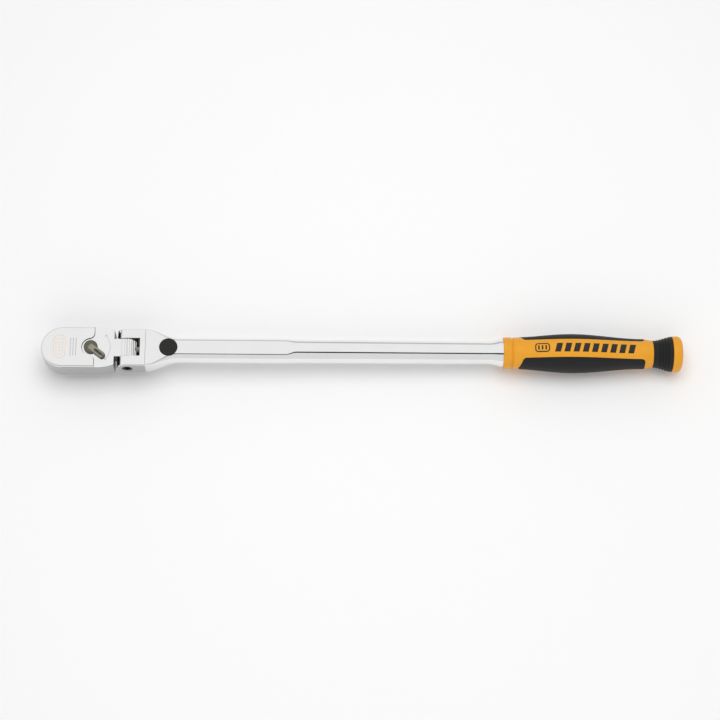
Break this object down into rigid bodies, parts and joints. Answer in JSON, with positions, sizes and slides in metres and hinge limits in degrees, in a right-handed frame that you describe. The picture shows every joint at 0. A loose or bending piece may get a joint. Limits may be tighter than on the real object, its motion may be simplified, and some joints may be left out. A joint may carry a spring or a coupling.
{
  "type": "ratchet wrench",
  "caption": "Long-handled reversible ratchet wrench with a square drive, a locking flex head, a thumb lever, a push-button head lock and a two-tone moulded grip.",
  "frame": {"origin": "on the drive axis, in the shoulder plane that a socket seats against", "axes": "-Z along the drive square to its tip, +X along the handle from the drive to the end cap, +Z to the reversing lever's side of the head"},
  "size_m": [0.6106, 0.0412, 0.0485],
  "materials": {
    "chrome_body": "polished bright chrome plate on forged alloy steel",
    "chrome_drive": "satin chrome plate on alloy steel",
    "tool_steel": "ground and oiled hardened steel",
    "spring_steel": "drawn spring wire",
    "black_steel": "black oxide on alloy steel",
    "bronze": "plain sintered bronze",
    "gunmetal": "cast and tumbled steel with a warm dark plating",
    "seal_rubber": "moulded nitrile rubber",
    "black_plastic": "moulded black nylon",
    "orange_plastic": "moulded orange polypropylene, satin",
    "black_rubber": "moulded black thermoplastic elastomer, fine matt texture"
  },
  "bodies": {
    "handle": {"handle_bar": "chrome_body", "hinge_screw": "black_steel", "grip_core": "orange_plastic", "grip_pads": "black_rubber", "grip_collar": "black_rubber", "end_cap": "orange_plastic", "lock_spring": "spring_steel", "button_spring": "spring_steel"},
    "head": {"head_body": "chrome_body", "cover_plate": "chrome_body", "cover_screws": "black_steel", "thrust_ring": "bronze", "pawl_pin": "tool_steel"},
    "drive": {"drive_gear": "chrome_drive", "ball_spring": "spring_steel"},
    "ball": {"detent_ball": "spring_steel"},
    "lever": {"reverse_lever": "gunmetal", "lever_o_ring": "seal_rubber", "lever_retaining_ring": "spring_steel", "plunger_spring": "spring_steel"},
    "plunger": {"lever_plunger": "tool_steel"},
    "pawl": {"pawl": "tool_steel"},
    "lock_bar": {"lock_bar": "tool_steel"},
    "button": {"lock_button": "black_plastic"}
  },
  "joints": [
    {"name": "flex_hinge", "type": "hinge", "parent": "handle", "child": "head", "pos_m": [0.061, 0, 0.014], "axis": [0, 1, 0], "range_deg": [-90, 90]},
    {"name": "drive_spin", "type": "hinge", "parent": "head", "child": "drive", "pos_m": [0, 0, 0], "axis": [0, 0, 1], "continuous": true},
    {"name": "ball_slide", "type": "slide", "parent": "drive", "child": "ball", "axis": [0, 1, 0], "range_m": [0, 0.0009], "stiffness_N_per_m": 1500, "springref_m": -0.001, "deforming": ["ball_spring"]},
    {"name": "lever_flip", "type": "hinge", "parent": "head", "child": "lever", "pos_m": [0.0266, 0, 0.0225], "axis": [0, 0, 1], "range_deg": [0, 76]},
    {"name": "plunger_slide", "type": "slide", "parent": "lever", "child": "plunger", "axis": [0.788, -0.6157, 0], "range_m": [0, 0.0008], "stiffness_N_per_m": 800, "springref_m": -0.001, "deforming": ["plunger_spring"]},
    {"name": "pawl_rock", "type": "hinge", "parent": "head", "child": "pawl", "pos_m": [0.018, 0, 0.0085], "axis": [0, 0, 1], "range_deg": [-10, 0]},
    {"name": "lock_slide", "type": "slide", "parent": "handle", "child": "lock_bar", "axis": [1, 0, 0], "range_m": [0, 0.0016], "stiffness_N_per_m": 1500, "springref_m": -0.003, "deforming": ["lock_spring"]},
    {"name": "button_press", "type": "slide", "parent": "handle", "child": "button", "axis": [0, 0, -1], "range_m": [0, 0.0016], "stiffness_N_per_m": 800, "springref_m": -0.003, "deforming": ["button_spring"]}
  ],
  "couplings": [
    {"joint": "pawl_rock", "follows": "lever_flip", "ratio": -0.13158},
    {"joint": "button_press", "follows": "lock_slide", "ratio": 1}
  ]
}
